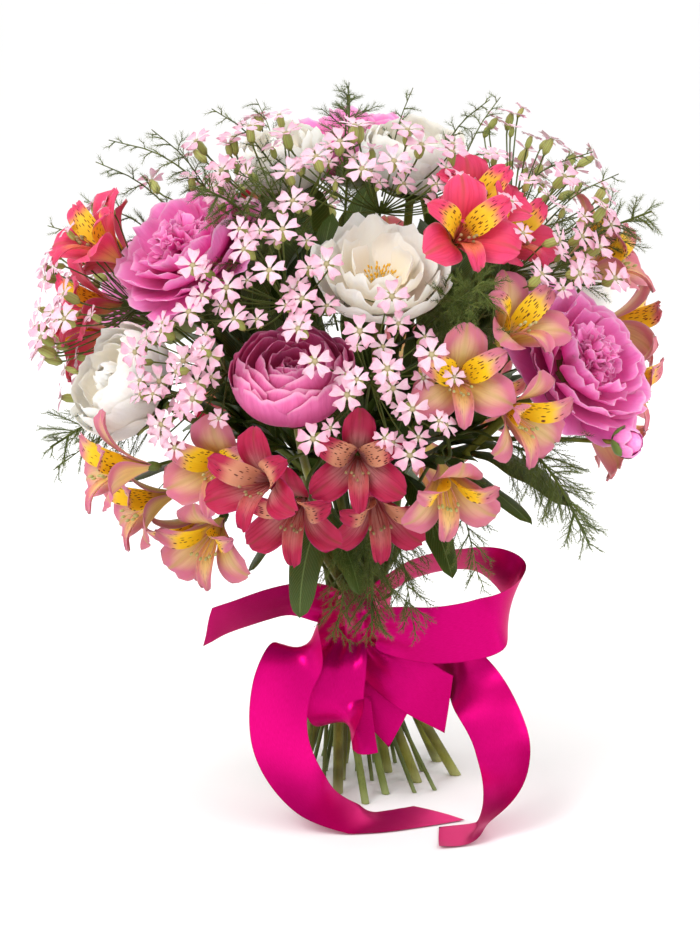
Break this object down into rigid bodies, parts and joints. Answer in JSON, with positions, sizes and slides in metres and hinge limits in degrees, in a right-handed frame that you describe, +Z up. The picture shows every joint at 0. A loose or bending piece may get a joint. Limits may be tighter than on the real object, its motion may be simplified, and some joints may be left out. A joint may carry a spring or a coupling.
{
  "type": "flower bouquet",
  "caption": "Hand-tied bouquet of peonies, alstroemerias, small pink sprays and fern, standing on splayed cut stems, with a satin ribbon bow.",
  "frame": {"origin": "centre of the middle stem's cut end, in the plane that the bouquet stands on", "axes": "+Z up along the stems towards the flowers, -Y towards the bow and the front, +X to the right seen from the front"},
  "size_m": [0.3912, 0.4028, 0.4532],
  "materials": {
    "petal_pink": "soft pink petals, deeper towards the heart",
    "petal_white": "soft cream white petals",
    "petal_yellow": "yellow petals with dusky pink edges and brown dashes",
    "petal_crimson": "crimson petals with a pale striped throat",
    "petal_red": "coral red petals with a yellow striped throat",
    "floret_pink": "pale pink petals on green calyxes and stalks",
    "stem_green": "fresh green stems and leaves with pale cut ends",
    "fern_green": "dark green feathery fronds",
    "ribbon_satin": "glossy fuchsia satin"
  },
  "bodies": {
    "root": {"alstro_crimson_back": "petal_crimson", "alstro_crimson_front": "petal_crimson", "alstro_red_left": "petal_red", "alstro_red_top": "petal_red", "alstro_salmon_right": "petal_yellow", "alstro_stem_crimson_back": "stem_green", "alstro_stem_crimson_front": "stem_green", "alstro_stem_red_left": "stem_green", "alstro_stem_red_top": "stem_green", "alstro_stem_salmon_right": "stem_green", "alstro_stem_yellow_back": "stem_green", "alstro_stem_yellow_left": "stem_green", "alstro_stem_yellow_right": "stem_green", "alstro_yellow_back": "petal_yellow", "alstro_yellow_left": "petal_yellow", "alstro_yellow_right": "petal_yellow", "fern_back": "fern_green", "fern_crown": "fern_green", "fern_front_right": "fern_green", "fern_low_front": "fern_green", "fern_low_left": "fern_green", "fern_low_right": "fern_green", "fern_right": "fern_green", "fern_top_left": "fern_green", "peony_pink_back": "petal_pink", "peony_pink_front": "petal_pink", "peony_pink_left": "petal_pink", "peony_pink_peak": "petal_pink", "peony_pink_right": "petal_pink", "peony_stem_pink_back": "stem_green", "peony_stem_pink_front": "stem_green", "peony_stem_pink_left": "stem_green", "peony_stem_pink_peak": "stem_green", "peony_stem_pink_right": "stem_green", "peony_stem_white_back": "stem_green", "peony_stem_white_crown": "stem_green", "peony_stem_white_front": "stem_green", "peony_stem_white_left": "stem_green", "peony_stem_white_peak": "stem_green", "peony_white_back": "petal_white", "peony_white_crown": "petal_white", "peony_white_front": "petal_white", "peony_white_left": "petal_white", "peony_white_peak": "petal_white", "ribbon_knot": "ribbon_satin", "ribbon_loop_left": "ribbon_satin", "ribbon_loop_right": "ribbon_satin", "ribbon_tail_center": "ribbon_satin", "ribbon_tail_left": "ribbon_satin", "ribbon_tail_right": "ribbon_satin", "spray_back": "floret_pink", "spray_back_left": "floret_pink", "spray_back_right": "floret_pink", "spray_far_left": "floret_pink", "spray_front": "floret_pink", "spray_left": "floret_pink", "spray_middle": "floret_pink", "spray_right": "floret_pink", "spray_top": "floret_pink", "spray_top_left": "floret_pink"}
  },
  "joints": []
}
